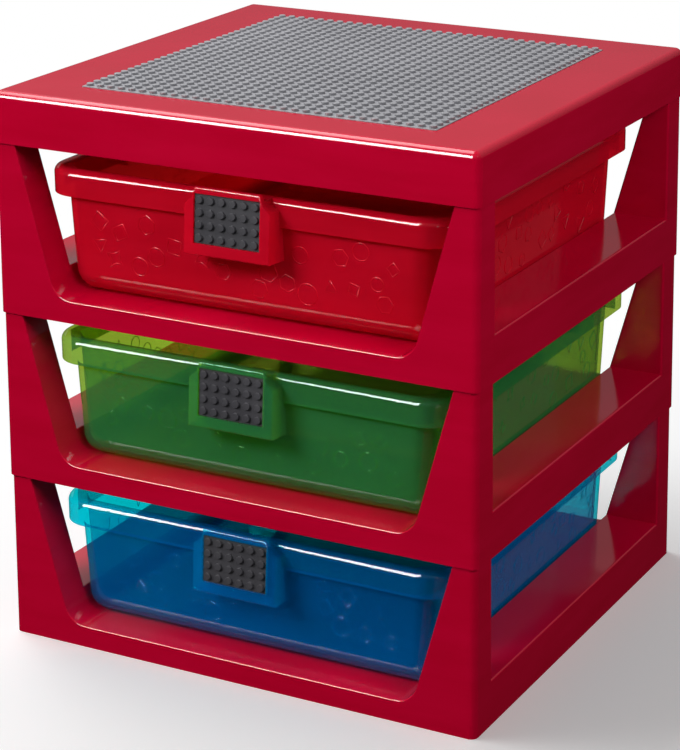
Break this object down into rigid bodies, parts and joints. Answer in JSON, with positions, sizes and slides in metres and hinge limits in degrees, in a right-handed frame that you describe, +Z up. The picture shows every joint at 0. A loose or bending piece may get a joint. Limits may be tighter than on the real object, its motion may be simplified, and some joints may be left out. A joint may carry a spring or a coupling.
{
  "type": "storage drawer rack",
  "caption": "Stacked storage rack with open sides, translucent pull-out drawers, stud-faced handles and a studded building deck let into its flat top cover.",
  "frame": {"origin": "middle of the footprint, on the plane that the rack stands on", "axes": "+Z up, -Y towards the front where the drawers open, +X to the right as seen from the front"},
  "size_m": [0.349, 0.329, 0.3812],
  "materials": {
    "red_plastic": "gloss",
    "red_drawer_plastic": "gloss translucent",
    "green_drawer_plastic": "gloss translucent",
    "blue_drawer_plastic": "gloss translucent",
    "light_grey_plastic": "satin",
    "dark_grey_plastic": "satin"
  },
  "bodies": {
    "rack": {"top_cover": "red_plastic", "stud_plate": "light_grey_plastic", "bottom_frame": "red_plastic", "middle_frame": "red_plastic", "top_frame": "red_plastic"},
    "blue_drawer": {"blue_drawer": "blue_drawer_plastic", "blue_handle_plate": "dark_grey_plastic"},
    "green_drawer": {"green_drawer": "green_drawer_plastic", "green_handle_plate": "dark_grey_plastic"},
    "red_drawer": {"red_drawer": "red_drawer_plastic", "red_handle_plate": "dark_grey_plastic"}
  },
  "joints": [
    {"name": "blue_drawer_slide", "type": "slide", "parent": "rack", "child": "blue_drawer", "axis": [0, -1, 0], "range_m": [0, 0.24]},
    {"name": "green_drawer_slide", "type": "slide", "parent": "rack", "child": "green_drawer", "axis": [0, -1, 0], "range_m": [0, 0.24]},
    {"name": "red_drawer_slide", "type": "slide", "parent": "rack", "child": "red_drawer", "axis": [0, -1, 0], "range_m": [0, 0.24]}
  ]
}
